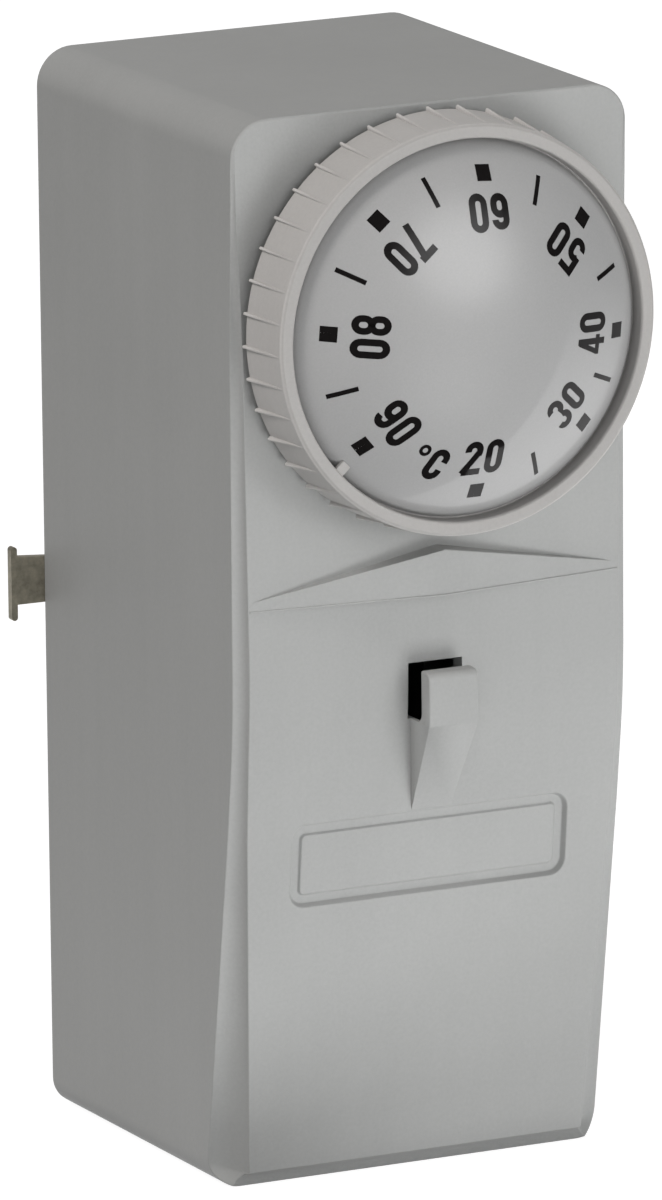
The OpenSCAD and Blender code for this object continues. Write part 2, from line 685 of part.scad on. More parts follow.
// Cable grommet, grooved to sit in the bottom wall, flush with the foot
cable_r = 3.5;
module cable_grommet() color([0.14, 0.14, 0.15]) placed() translate([0, grommet_y, 0]) difference() {
    union() {
        translate([0, 0, 0.1]) cylinder(r = grommet_r + 1.2, h = 0.85);
        translate([0, 0, 0.1]) cylinder(r = grommet_r - 0.1, h = wall + 0.5);
        translate([0, 0, wall + 0.05]) cylinder(r = grommet_r + 1.4, h = 1.3);
    }
    translate([0, 0, -1]) cylinder(r = cable_r, h = 6);
}

module cover_screws() color([0.72, 0.72, 0.7]) placed()
    for (s = [-1, 1])
        facing(s * cover_screw_x, 2.4, knob_z) screw(1.2, 10.5, 2.7, 1.9);

cover();
base();
strap_bracket();
bracket_screws();
contact_plate();
sensing_bulb();
bulb_spring();
capillary();
expansion_capsule();
capsule_nut();
push_pin();
mechanism_frame();
frame_screws();
spindle();
spindle_bush();
bush_nut();
knob();
dial_disc();
knob_clip();
range_nut();
range_spring();
lever();
lever_pin();
switch_body();
switch_button();
switch_screws();
switch_terminals();
terminal_screws();
earth_terminal();
earth_screw();
cable_clamp();
clamp_screws();
cable_grommet();
cover_screws();
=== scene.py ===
from math import atan, cos, hypot, pi, radians, sin, sqrt

import bmesh
import bpy
from mathutils import Matrix, Vector


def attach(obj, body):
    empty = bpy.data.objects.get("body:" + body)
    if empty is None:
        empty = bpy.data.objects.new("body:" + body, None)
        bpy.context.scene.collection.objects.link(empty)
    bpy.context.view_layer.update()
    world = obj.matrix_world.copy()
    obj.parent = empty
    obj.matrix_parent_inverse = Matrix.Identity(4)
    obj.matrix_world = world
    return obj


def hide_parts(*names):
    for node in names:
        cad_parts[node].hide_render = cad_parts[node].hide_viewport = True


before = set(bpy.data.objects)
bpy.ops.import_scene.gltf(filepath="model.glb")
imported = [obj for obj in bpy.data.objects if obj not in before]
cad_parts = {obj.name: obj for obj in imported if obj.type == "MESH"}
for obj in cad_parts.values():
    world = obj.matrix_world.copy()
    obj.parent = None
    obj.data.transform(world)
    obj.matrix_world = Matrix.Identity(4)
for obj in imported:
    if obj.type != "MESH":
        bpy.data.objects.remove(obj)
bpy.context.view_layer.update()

bl_info = {
    "name": "Pipe Thermostat",
    "version": (1, 0, 0),
    "blender": (4, 5, 0),
    "location": "View3D > Sidebar > Thermostat",
    "description": "Models the finished surfaces of a pipe thermostat and lights it in a studio",
    "category": "Object",
}

MM = 0.001
FRONT_Y = -18.5 * MM          # the cover's upper front plane
BODY_W = 45 * MM
BODY_H = 113.4 * MM
KNOB_Z = BODY_H - 22.25 * MM  # the knob's axis
CREASE_Z = 62.4 * MM          # where the cover's front starts to slope
WELD = 0.0005 * MM            # vertices nearer than this are merged
SNAP = 0.001 * MM             # a cut nearer than this to a vertex goes through it

# the dial seen from the front: x to the right, y up, z out of the front plane
DIAL = Matrix.Translation((0, FRONT_Y, KNOB_Z)) @ Matrix.Rotation(pi / 2, 4, "X")


def linear(*rgb):
    """A colour as picked on screen, 0 to 255, in the linear values that Blender's sockets hold."""
    def one(c):
        c /= 255
        return c / 12.92 if c <= 0.04045 else ((c + 0.055) / 1.055) ** 2.4
    return tuple(one(c) for c in rgb)


# Sizes and colours that a user would change

class CoverSettings(bpy.types.PropertyGroup):
    edge_radius: bpy.props.FloatProperty(
        name="Edge Radius", description="Rounding of the hook's edges, from which the others follow",
        default=0.32 * MM, unit="LENGTH")
    colour: bpy.props.FloatVectorProperty(
        name="Colour", description="Colour of the moulded housing", default=linear(165, 166, 165),
        size=3, subtype="COLOR", min=0, max=1)
    grain_depth: bpy.props.FloatProperty(
        name="Grain Depth", description="Depth of the fine mould grain", default=0.012 * MM, unit="LENGTH")
    cove_steps: bpy.props.IntProperty(
        name="Cove Steps", description="Facets across the hollow moulding round the front", default=7, min=2)


class KnobSettings(bpy.types.PropertyGroup):
    rim_radius: bpy.props.FloatProperty(
        name="Rim Radius", description="Outer radius of the knob's rim", default=21.3 * MM, unit="LENGTH")
    rim_out: bpy.props.FloatProperty(
        name="Rim Height", description="Distance from the front plane to the rim", default=8.4 * MM,
        unit="LENGTH")
    rib_count: bpy.props.IntProperty(name="Ribs", description="Number of grip ribs", default=40, min=8)
    colour: bpy.props.FloatVectorProperty(
        name="Colour", description="Colour of the knob", default=linear(171, 169, 167),
        size=3, subtype="COLOR", min=0, max=1)


class DialSettings(bpy.types.PropertyGroup):
    sphere_radius: bpy.props.FloatProperty(
        name="Sphere Radius", description="Radius of the sphere that the dial is part of",
        default=31.75 * MM, unit="LENGTH")
    middle_out: bpy.props.FloatProperty(
        name="Middle Height", description="Distance from the front plane to the dial's middle",
        default=13.9 * MM, unit="LENGTH")
    edge_radius: bpy.props.FloatProperty(
        name="Edge Radius", description="Radius at which the dial ends", default=19.6 * MM, unit="LENGTH")
    colour: bpy.props.FloatVectorProperty(
        name="Colour", description="Colour of the painted dial", default=linear(172, 172, 172),
        size=3, subtype="COLOR", min=0, max=1)
    ink: bpy.props.FloatVectorProperty(
        name="Ink", description="Colour of the printed scale", default=linear(20, 18, 18),
        size=3, subtype="COLOR", min=0, max=1)


class MetalSettings(bpy.types.PropertyGroup):
    zinc: bpy.props.FloatVectorProperty(
        name="Zinc", description="Colour of the plated strap bracket", default=linear(196, 190, 172),
        size=3, subtype="COLOR", min=0, max=1)


class StageSettings(bpy.types.PropertyGroup):
    azimuth: bpy.props.FloatProperty(
        name="Azimuth", description="Turn of the camera to the object's left", default=radians(-26.23),
        subtype="ANGLE")
    elevation: bpy.props.FloatProperty(
        name="Elevation", description="Height of the camera above the horizon", default=radians(12.98),
        subtype="ANGLE")
    roll: bpy.props.FloatProperty(
        name="Roll", description="Turn of the camera about its own axis", default=radians(0.66),
        subtype="ANGLE")
    distance: bpy.props.FloatProperty(
        name="Distance", description="Distance from the camera to its target", default=1.448, unit="LENGTH")
    target: bpy.props.FloatVectorProperty(
        name="Target", description="Point that the camera looks at", default=(-0.01184, FRONT_Y, 0.06274),
        size=3, subtype="XYZ", unit="LENGTH")
    lens: bpy.props.FloatProperty(
        name="Lens", description="Focal length on a 36 mm frame", default=425.5, unit="CAMERA")
    air: bpy.props.FloatProperty(
        name="Air", description="Strength of the even light from all round", default=0.325, min=0)
    room: bpy.props.FloatProperty(
        name="Room", description="Share of the even light that the dark room in front takes away",
        default=0.86, min=0, max=1, subtype="FACTOR")
    window: bpy.props.FloatProperty(
        name="Window", description="Strength of the soft window at the front right", default=1.9, min=0)
    key_lamp: bpy.props.FloatProperty(
        name="Key Lamp", description="Power of the soft lamp at the front right", default=2.1, min=0,
        unit="POWER")
    top_lamp: bpy.props.FloatProperty(
        name="Top Lamp", description="Power of the warm lamp high at the left", default=5.4, min=0,
        unit="POWER")
    right_lamp: bpy.props.FloatProperty(
        name="Right Lamp", description="Power of the lamp high at the right", default=0.6, min=0,
        unit="POWER")
    low_lamp: bpy.props.FloatProperty(
        name="Low Lamp", description="Power of the lamp below the table's front edge", default=5.8, min=0,
        unit="POWER")
    fill_lamp: bpy.props.FloatProperty(
        name="Fill Lamp", description="Power of the large soft lamp behind the camera", default=5.0, min=0,
        unit="POWER")
    back_lamp: bpy.props.FloatProperty(
        name="Back Lamp", description="Power of the large soft lamp behind the object", default=2.5, min=0,
        unit="POWER")
    front_glow: bpy.props.FloatProperty(
        name="Front Glow", description="Light that the paper beside and in front of the object gives back",
        default=0.9, min=0)
    paper_edge: bpy.props.FloatProperty(
        name="Paper Edge", description="How far in front of the origin the paper ends, towards the camera",
        default=43 * MM, unit="LENGTH")


def settings():
    return bpy.context.scene.pipe_thermostat


class ThermostatSettings(bpy.types.PropertyGroup):
    cover: bpy.props.PointerProperty(type=CoverSettings)
    knob: bpy.props.PointerProperty(type=KnobSettings)
    dial: bpy.props.PointerProperty(type=DialSettings)
    metal: bpy.props.PointerProperty(type=MetalSettings)
    stage: bpy.props.PointerProperty(type=StageSettings)


# Shader expressions

class Value:
    """A shader value that can be used in a Python expression, which adds the Math nodes it needs."""

    def __init__(self, shop, socket):
        self.shop = shop
        self.socket = socket

    def maths(self, operation, *others):
        node = self.shop.node("ShaderNodeMath", {"operation": operation}, dict(enumerate((self,) + others)))
        return Value(self.shop, node.outputs[0])

    def __add__(self, other):
        return self.maths("ADD", other)

    __radd__ = __add__

    def __sub__(self, other):
        return self.maths("SUBTRACT", other)

    def __rsub__(self, other):
        return (self * -1) + other

    def __mul__(self, other):
        return self.maths("MULTIPLY", other)

    __rmul__ = __mul__

    def __truediv__(self, other):
        return self.maths("DIVIDE", other)

    def __rtruediv__(self, other):
        return (self ** -1) * other

    def __pow__(self, other):
        return self.maths("POWER", other)

    def __gt__(self, other):
        return self.maths("GREATER_THAN", other)

    def clamp(self):
        node = self.shop.node("ShaderNodeClamp", {}, {0: self})
        return Value(self.shop, node.outputs[0])


class Shop:
    """Adds nodes to the tree of a material or of the world."""

    def __init__(self, tree):
        self.tree = tree

    def node(self, kind, options, inputs):
        """A new node with its settings, then the values or links of its sockets."""
        made = self.tree.nodes.new(kind)
        for key, value in options.items():
            setattr(made, key, value)
        for key, value in inputs.items():
            value = value.socket if isinstance(value, Value) else value
            if isinstance(value, bpy.types.NodeSocket):
                self.tree.links.new(value, made.inputs[key])
            else:
                made.inputs[key].default_value = value
        return made

    def dot(self, a, b):
        made = self.node("ShaderNodeVectorMath", {"operation": "DOT_PRODUCT"}, {0: a, 1: b})
        return Value(self, made.outputs["Value"])

    def light_paths(self, *kinds):
        """1 for rays of the named kinds, such as Camera, and 0 for the others."""
        paths = self.node("ShaderNodeLightPath", {}, {})
        kinds = [Value(self, paths.outputs["Is %s Ray" % kind]) for kind in kinds]
        return sum(kinds[1:], kinds[0]).clamp()


class Finish(Shop):
    """One procedural material: a Principled shader and the nodes that feed it."""

    def __init__(self, name, **constants):
        self.material = bpy.data.materials.new(name)
        self.material.use_nodes = True
        super().__init__(self.material.node_tree)
        self.shader = self.tree.nodes["Principled BSDF"]
        for socket, value in constants.items():
            value = tuple(value) + (1,) if socket == "Base_Color" else value
            self.shader.inputs[socket.replace("_", " ")].default_value = value
        self.place = self.node("ShaderNodeTexCoord", {}, {}).outputs["Object"]

    def noise(self, scale, detail, roughness, stretch=(1, 1, 1)):
        """Noise with features about 1 / scale metres apart, from 0 to 1."""
        mapped = self.node("ShaderNodeMapping", {}, {"Vector": self.place, "Scale": stretch})
        made = self.node("ShaderNodeTexNoise", {}, {
            "Vector": mapped.outputs[0], "Scale": scale, "Detail": detail, "Roughness": roughness})
        return Value(self, made.outputs["Fac"])

    def axis(self, name):
        split = self.node("ShaderNodeSeparateXYZ", {}, {0: self.place})
        return Value(self, split.outputs[name])

    def mix(self, factor, a, b):
        """The colour a where factor is 0 and b where it is 1."""
        a, b = (colour + (1,) if isinstance(colour, tuple) else colour for colour in (a, b))
        return self.node("ShaderNodeMix", {"data_type": "RGBA"}, {0: factor, 6: a, 7: b}).outputs[2]

    def feed(self, socket, value):
        value = value.socket if isinstance(value, Value) else value
        self.tree.links.new(value, self.shader.inputs[socket])

    def bump(self, height, distance):
        made = self.node("ShaderNodeBump", {}, {"Height": height, "Distance": distance})
        self.tree.links.new(made.outputs["Normal"], self.shader.inputs["Normal"])


def shade(colour, factor):
    return tuple(min(1.0, c * factor) for c in colour)


def grip(finish):
    """Painted light and highlight: 0 on the knob's rim and web, a half on its ribbed side, 1 on its rib
    crests.
    """
    rim = settings().knob.rim_radius
    across = finish.axis("X")
    above = finish.axis("Z") - KNOB_Z
    radius = (across * across + above * above) ** 0.5
    # painted light on the ribbed skirt, and a painted highlight on the crests of the ribs
    side = ((radius - (rim - 0.2 * MM)) * 5000).clamp()
    crest = ((radius - (rim + 0.3 * MM)) * 3000).clamp()
    return side * 0.5 + crest * 0.5


def moulded_plastic(name, colour, roughness, grain, painted_light_mask=None):
    """Fine-grained moulded plastic, a little uneven in tone and gloss, with painted light where a mask is
    given.
    """
    finish = Finish(name, Roughness=roughness, IOR=1.46)
    speckle = finish.noise(2600, 2, 0.6)
    cloud = finish.noise(45, 3, 0.55)
    streak = finish.noise(420, 2, 0.5, (1, 1, 0.05))
    tone = (speckle - 0.5) * 0.5 + (cloud - 0.5) * 0.5 + (streak - 0.5) * 0.2 + 0.5
    look = finish.mix(tone, shade(colour, 0.86), shade(colour, 1.14))
    if painted_light_mask:
        # painted light: a paler copy of the colour, used where the mask is 1
        painted_light_colour = finish.mix(tone, shade(colour, 1.33), shade(colour, 1.79))
        look = finish.mix(painted_light_mask(finish), look, painted_light_colour)
    finish.feed("Base Color", look)
    finish.feed("Roughness", (cloud - 0.5) * 0.16 + (speckle - 0.5) * 0.08 + roughness)
    finish.bump(speckle + streak * 0.3, grain)
    return finish.material


def painted_dial(name, colour):
    """Fine metallic silver paint under a clear lacquer."""
    finish = Finish(name, Roughness=0.4, Metallic=0.12, Coat_Weight=1.0, Coat_Roughness=0.06, IOR=1.45)
    flake = finish.noise(5200, 2, 0.6)
    cloud = finish.noise(60, 3, 0.5)
    tone = (flake - 0.5) * 0.7 + (cloud - 0.5) * 0.3 + 0.5
    finish.feed("Base Color", finish.mix(tone, shade(colour, 0.88), shade(colour, 1.12)))
    finish.feed("Roughness", (cloud - 0.5) * 0.1 + 0.4)
    finish.bump(flake, 0.002 * MM)
    return finish.material


def scale_ink(name, colour):
    """Printed ink under the same lacquer as the dial."""
    finish = Finish(name, Roughness=0.5, Coat_Weight=1.0, Coat_Roughness=0.06, Specular_IOR_Level=0)
    mottle = finish.noise(3500, 3, 0.6)
    finish.feed("Base Color", finish.mix(mottle, shade(colour, 0.6), shade(colour, 1.5)))
    finish.bump(mottle, 0.002 * MM)
    return finish.material


def plated_steel(name, colour, roughness=0.42):
    """Zinc-plated steel: blotchy, dull, with fine rolling lines."""
    finish = Finish(name, Metallic=0.85, Roughness=roughness)
    blotch = finish.noise(900, 4, 0.65)
    lines = finish.noise(1500, 2, 0.5, (0.08, 1, 1))
    patch = finish.noise(260, 2, 0.5)
    tone = (blotch - 0.5) * 1.3 + (patch - 0.5) * 0.8 + (lines - 0.5) * 0.3 + 0.5
    finish.feed("Base Color", finish.mix(tone.clamp(), shade(colour, 0.45), shade(colour, 1.25)))
    finish.feed("Roughness", (blotch - 0.5) * 0.25 + roughness)
    finish.bump(blotch + lines * 0.5, 0.02 * MM)
    return finish.material


def bright_metal(name, colour, roughness):
    """Machined or rolled metal with a light handling haze."""
    finish = Finish(name, Metallic=1.0, Roughness=roughness)
    haze = finish.noise(260, 3, 0.55)
    turning = finish.noise(1800, 2, 0.5, (1, 0.1, 1))
    finish.feed("Base Color", finish.mix(haze, shade(colour, 0.88), shade(colour, 1.12)))
    finish.feed("Roughness", (haze - 0.5) * 0.15 + (turning - 0.5) * 0.1 + roughness)
    finish.bump(turning, 0.006 * MM)
    return finish.material


def matt_rubber(name, colour):
    """Black rubber with dust in its pores."""
    finish = Finish(name, Roughness=0.75)
    dust = finish.noise(700, 4, 0.6)
    finish.feed("Base Color", finish.mix(dust, shade(colour, 0.8), shade(colour, 1.7)))
    finish.bump(dust, 0.02 * MM)
    return finish.material


# Mesh helpers

def once(parts):
    """The parts in their first order, each one once."""
    return list(dict.fromkeys(parts))


def newer(made, before):
    """The vertices that are not in before."""
    return [v for v in made.verts if v not in before]


def piece(name, mesh_maker, body, material, slot, *nodes):
    """A new object from a bmesh, riding on a body and standing for the CAD nodes."""
    mesh = bpy.data.meshes.new(name)
    mesh_maker.to_mesh(mesh)
    mesh_maker.free()
    made = bpy.data.objects.new(name, mesh)
    bpy.context.scene.collection.objects.link(made)
    made.data.materials.append(material)
    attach(made, body)
    if nodes:
        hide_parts(*nodes)
    return made


def smooth_by_angle(mesh_maker, angle):
    """Smooth faces, with sharp edges where the surface turns by more than angle."""
    for face in mesh_maker.faces:
        face.smooth = True
    for edge in mesh_maker.edges:
        edge.smooth = not (len(edge.link_faces) == 2 and edge.calc_face_angle(0) > angle)


def from_cad(node):
    """The CAD node's surface as a clean bmesh of flat faces."""
    made = bmesh.new()
    made.from_mesh(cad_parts[node].data)
    bmesh.ops.remove_doubles(made, verts=made.verts, dist=WELD)
    bmesh.ops.dissolve_limit(made, angle_limit=radians(0.5), use_dissolve_boundaries=False,
                             verts=made.verts, edges=made.edges, delimit={"NORMAL"})
    return made


def revolve(points):
    """Spins an outline of (radius, distance in front of the front plane) round the dial's axis."""
    made = bmesh.new()
    ring = [made.verts.new((r, FRONT_Y - out, KNOB_Z)) for r, out in points]
    edges = [made.edges.new(pair) for pair in zip(ring, ring[1:])]
    bmesh.ops.spin(made, geom=ring + edges, cent=(0, 0, KNOB_Z), axis=(0, 1, 0), dvec=(0, 0, 0), angle=2 * pi,
                   steps=192, use_merge=True)
    bmesh.ops.remove_doubles(made, verts=made.verts, dist=WELD)
    bmesh.ops.recalc_face_normals(made, faces=made.faces)
    return made


def rounded(points, radius, steps):
    """The outline with each inner corner replaced by a small arc-like cut."""
    out = [points[0]]
    for before, corner, after in zip(points, points[1:], points[2:]):
        corner = Vector(corner)
        a = Vector(before) - corner
        b = Vector(after) - corner
        cut = min(radius, a.length * 0.45, b.length * 0.45)
        start = corner + a.normalized() * cut
        end = corner + b.normalized() * cut
        for i in range(steps + 1):
            t = i / steps
            out.append(tuple(start * (1 - t) ** 2 + corner * 2 * t * (1 - t) + end * t ** 2))
    return out + [points[-1]]


# The pieces

class THERMOSTAT_OT_cover(bpy.types.Operator):
    """Hollows the moulding round the cover's front, rounds its edges and gives it its plastic"""
    bl_idname = "thermostat.cover"
    bl_label = "Cover"

    CORNER = 3 * MM               # radius of the cover's lower corners
    TOP_CORNER = 4 * MM           # radius of its upper corners
    CHAMFER = 1.6 * MM            # a little more than the chamfer's width
    SLIM_START = 88 * MM          # above this the chamfer narrows
    SLIM_RUN = 20 * MM            # over this height
    SLIM_SHARE = 0.62             # by this share of its width
    COVE_FADE = 104 * MM          # above this the hollow grows flat
    COVE_TOP = 108 * MM           # and here it ends

    def execute(self, context):
        cover = settings().cover
        plastic = moulded_plastic("housing_plastic", tuple(cover.colour), 0.46, cover.grain_depth)
        made = from_cad("cover")
        self.slim_edge(made)
        self.cove(made, cover.cove_steps)
        weight = made.edges.layers.float.new("bevel_weight_edge")
        for edge in made.edges:
            if len(edge.link_faces) == 2 and edge.calc_face_angle() > radians(18):
                edge[weight] = self.roundness((edge.verts[0].co + edge.verts[1].co) / 2)
                edge.smooth = edge[weight] > 0
        for face in made.faces:
            face.smooth = True
        skin = piece("cover_skin", made, "housing", plastic, "housing_grey", "cover")
        bevel = skin.modifiers.new("moulded edges", "BEVEL")
        bevel.width = cover.edge_radius
        bevel.segments = 3
        bevel.limit_method = "WEIGHT"
        bevel.use_clamp_overlap = False
        bevel.miter_outer = "MITER_ARC"
        weighted = skin.modifiers.new("flat faces", "WEIGHTED_NORMAL")
        weighted.keep_sharp = True
        weighted.weight = 80
        self.witness_line(plastic)
        return {"FINISHED"}

    def roundness(self, place):
        """How far an edge is rounded, as a share of the hook's edges."""
        x, y, z = (abs(place.x) / MM, place.y / MM, place.z / MM)
        on_hook = x < 3.4 and 38 < z < 56
        round_label = x < 16 and 25 < z < 41
        if y > -9:
            return 0.4
        if on_hook:
            return 0.55 if y < -20.95 else 0
        if round_label:
            return 0.35
        return 0.15 if z > 96 else 0.4

    def slim_edge(self, made):
        """Narrows the chamfer towards the top, so that the face's top edges end nearly sharp."""
        for height in (88, 92, 96, 100, 104):
            self.cut(made, self.with_borders(self.upper_chamfer(made)), height * MM)
        for v in once(v for face in self.upper_chamfer(made) for v in face.verts):
            out = Vector((max(abs(v.co.x) - BODY_W / 2 + self.TOP_CORNER, 0),
                          max(v.co.z - BODY_H + self.TOP_CORNER, 0)))
            inward = self.TOP_CORNER - out.length
            slim = self.SLIM_SHARE * max(0, min(1, (v.co.z - self.SLIM_START) / self.SLIM_RUN))
            if slim and out.length and inward < self.CHAMFER:
                out.normalize()
                side = 1 if v.co.x > 0 else -1
                v.co += Vector((out.x * inward * side, FRONT_Y - v.co.y, out.y * inward)) * slim
        made.normal_update()

    def cove(self, made, steps):
        """Turns the chamfer round the front into a hollow, square to the side and to the front."""
        self.cut(made, self.with_borders(self.chamfer(made)), self.COVE_TOP)
        low = [face for face in self.chamfer(made) if face.calc_center_median().z < self.COVE_TOP]
        bmesh.ops.delete(made, geom=low, context="FACES")
        heights = {round(v.co.z, 6) for edge in made.edges if edge.is_boundary for v in edge.verts}
        for height in sorted(heights | {75 * MM, 90 * MM, self.COVE_FADE}):
            if self.CORNER - 0.01 * MM < height < self.COVE_TOP - 0.1 * MM:
                rims = [edge for edge in made.edges if edge.is_boundary]
                self.cut(made, once(part for edge in rims for part in (edge, *edge.verts)), height)
        share = made.verts.layers.float.new("share")
        start = made.verts.layers.float_vector.new("start")
        rims = [edge for edge in made.edges if edge.is_boundary]
        for v in once(v for edge in rims for v in edge.verts):
            inner = any(face.normal.y < -0.975 for face in v.link_faces)
            v[share] = 1 if inner else 0
            v[start] = Vector((0, 0, 0)) if inner else v.co
        fresh = self.bridge(made, rims, share)
        for face in fresh:
            face.normal_update()
            if face.normal.y > 0:
                face.normal_flip()
        across = [edge for edge in once(e for face in fresh for e in face.edges)
                  if edge.verts[0][share] != edge.verts[1][share]]
        bmesh.ops.subdivide_edges(made, edges=across, cuts=steps - 1)
        for v in made.verts:
            part = v[share]
            if 0.001 < part < 0.999:
                outer = v[start] / (1 - part)
                way = (v.co - v[start]) / part - outer
                turn = part * pi / 2
                hollow = outer + Vector((way.x * sin(turn), way.y * (1 - cos(turn)), way.z * sin(turn)))
                fade = (self.COVE_TOP - v.co.z) / (self.COVE_TOP - self.COVE_FADE)
                v.co = v.co.lerp(hollow, min(1, fade))
        made.verts.layers.float.remove(share)
        made.verts.layers.float_vector.remove(made.verts.layers.float_vector["start"])
        made.normal_update()

    def bridge(self, made, rims, share):
        """Flat faces from the gap's outer rim to its inner rim: both sides, the foot and the corners."""
        fresh = []
        for side in (-1, 1):
            run = [edge for edge in rims if edge.verts[0][share] == edge.verts[1][share]
                   and all(v.co.x * side > 0 and v.co.z > self.CORNER - 0.01 * MM for v in edge.verts)]
            fresh += bmesh.ops.bridge_loops(made, edges=run)["faces"]
        foot = [edge for edge in rims if edge.verts[0].co.x * edge.verts[1].co.x < 0]
        fresh += bmesh.ops.bridge_loops(made, edges=foot)["faces"]
        for side in (-1, 1):
            gap = [edge for edge in made.edges
                   if edge.is_boundary and all(v.co.x * side > 0 for v in edge.verts)]
            corner = min((v for edge in gap for v in edge.verts if v[share] == 1), key=lambda v: v.co.z)
            fresh += [made.faces.new((corner, *edge.verts)) for edge in gap if corner not in edge.verts]
        return fresh

    def chamfer(self, made, top=110 * MM):
        """The sloping faces round the front, with their middles below top."""
        def is_part(face):
            place = face.calc_center_median()
            at_edge = abs(place.x) > 17.5 * MM or place.z < 1.9 * MM or place.z > 112 * MM
            return -0.975 < face.normal.y < -0.3 and place.y < -4 * MM and at_edge and place.z < top
        return [face for face in made.faces if is_part(face)]

    def upper_chamfer(self, made):
        return [face for face in self.chamfer(made, BODY_H) if face.calc_center_median().z > 50 * MM]

    def with_borders(self, faces):
        return once(part for face in faces for part in (face, *face.edges, *face.verts))

    def cut(self, made, parts, height):
        bmesh.ops.bisect_plane(made, geom=parts, dist=SNAP, plane_co=(0, 0, height), plane_no=(0, 0, 1))

    def witness_line(self, plastic):
        """The fine raised line where two halves of the mould met, along the crease under the index mark."""
        half = 20.8 * MM              # half the width of the index mark
        peak = 2.3 * MM               # how far the mark stands out in the middle
        made = bmesh.new()
        bmesh.ops.create_cube(made, size=1)
        bmesh.ops.scale(made, vec=(42.2 * MM, 0.4 * MM, 0.2 * MM), verts=made.verts)
        for x in (-half, 0, half):
            parts = made.verts[:] + made.edges[:] + made.faces[:]
            bmesh.ops.bisect_plane(made, geom=parts, dist=SNAP, plane_co=(x, 0, 0), plane_no=(1, 0, 0))
        crest = [edge for edge in made.edges if all(v.co.y < 0 for v in edge.verts)]
        bmesh.ops.bevel(made, geom=crest, offset=0.07 * MM, affect="EDGES", segments=2, profile=0.5,
                        material=-1)
        for v in made.verts:
            v.co.y -= peak * (1 - min(1, abs(v.co.x) / half))
        bmesh.ops.translate(made, vec=(0, FRONT_Y + 0.09 * MM, CREASE_Z + 0.02 * MM), verts=made.verts)
        smooth_by_angle(made, radians(50))
        piece("cover_witness_line", made, "housing", plastic, "housing_grey")


class THERMOSTAT_OT_knob(bpy.types.Operator):
    """Spins the knob's rim and skirt and sets its grip ribs on it"""
    bl_idname = "thermostat.knob"
    bl_label = "Knob"

    def execute(self, context):
        knob = settings().knob
        # the grip mask paints light on the knob's ribbed skirt and a highlight on its rib crests
        plastic = moulded_plastic("knob_plastic", tuple(knob.colour), 0.42, 0.01 * MM, grip)
        rim = knob.rim_radius
        out = knob.rim_out
        inner = rim - 1.35 * MM       # the rim's inside
        skirt = 1 * MM                # the skirt's back edge
        web = 6.4 * MM                # the web's front
        web_back = 4.9 * MM
        hub = 4.7 * MM                # the hub's outside
        hub_foot = -1 * MM
        bore = 3.02 * MM
        bore_end = 5.7 * MM
        outline = [
            (0, web), (inner - 0.2 * MM, web), (inner - 0.15 * MM, out - 0.2 * MM), (inner, out),
            (rim - 0.3 * MM, out), (rim, out - 0.3 * MM), (rim + 0.3 * MM, skirt), (rim - 1.1 * MM, skirt),
            (rim - 1.2 * MM, web_back), (hub, web_back), (hub, hub_foot), (bore, hub_foot), (bore, bore_end),
            (0, bore_end)]
        made = revolve(rounded(outline, 0.1 * MM, 4))
        self.add_ribs(made, knob)
        self.add_stop(made)
        self.add_tab(made, inner, out)
        bmesh.ops.recalc_face_normals(made, faces=made.faces)
        smooth_by_angle(made, radians(34))
        moulding = piece("knob_moulding", made, "knob", plastic, "housing_grey", "knob")
        weighted = moulding.modifiers.new("flat faces", "WEIGHTED_NORMAL")
        weighted.keep_sharp = True
        return {"FINISHED"}

    def add_ribs(self, made, knob):
        """One rib is a thin fin with a rounded crest, and the rest are turned copies."""
        rim = knob.rim_radius
        top = knob.rim_out - 0.5 * MM
        low = 1 * MM
        for i in range(knob.rib_count):
            before = set(made.verts)
            rib = bmesh.ops.create_cube(made, size=1)["verts"]
            for v in rib:
                front = v.co.z > 0
                out, width = (0.02 if front else 0.72, 0.3) if v.co.x > 0 else (-0.5, 0.52)
                v.co = Vector((rim + out * MM, v.co.y * width * MM, top if front else low))
            crest = [edge for edge in once(edge for v in rib for edge in v.link_edges)
                     if all(v.co.x > rim for v in edge.verts)
                     and abs(edge.verts[0].co.z - edge.verts[1].co.z) > MM]
            bmesh.ops.bevel(made, geom=crest, offset=0.12 * MM, affect="EDGES", segments=3, profile=0.5,
                            material=-1)
            turn = Matrix.Rotation(radians(2) + 2 * pi * i / knob.rib_count, 4, "Z")
            bmesh.ops.transform(made, matrix=DIAL @ turn, verts=newer(made, before))

    def add_stop(self, made):
        """The segment behind the web that ends the knob's turn."""
        half = radians(12.5)
        middle = radians(64.5)
        corners = [(15 * MM, 1.2 * MM), (19 * MM, 1.2 * MM), (19 * MM, 5 * MM), (15 * MM, 5 * MM)]
        turn = Matrix.Rotation(middle - half, 4, "Z")
        ring = [made.verts.new(DIAL @ turn @ Vector((r, 0, h))) for r, h in corners]
        face = made.faces.new(ring)
        bmesh.ops.spin(made, geom=[face] + ring + list(face.edges), cent=DIAL.translation, axis=(0, -1, 0),
                       dvec=(0, 0, 0), angle=2 * half, steps=12)

    def add_tab(self, made, inner, out):
        """The little tab on the rim's inner wall that locates the dial."""
        before = set(made.verts)
        tab = bmesh.ops.create_cube(made, size=1)["verts"]
        bmesh.ops.scale(made, vec=(1.3 * MM, 1.1 * MM, 0.6 * MM), verts=tab)
        edges = once(edge for v in tab for edge in v.link_edges)
        bmesh.ops.bevel(made, geom=edges, offset=0.1 * MM, affect="EDGES", segments=2, profile=0.5,
                        material=-1)
        turn = Matrix.Rotation(radians(-138), 4, "Z")
        place = DIAL @ turn @ Matrix.Translation((inner - 0.7 * MM, 0, out - 0.6 * MM))
        bmesh.ops.transform(made, matrix=place, verts=newer(made, before))


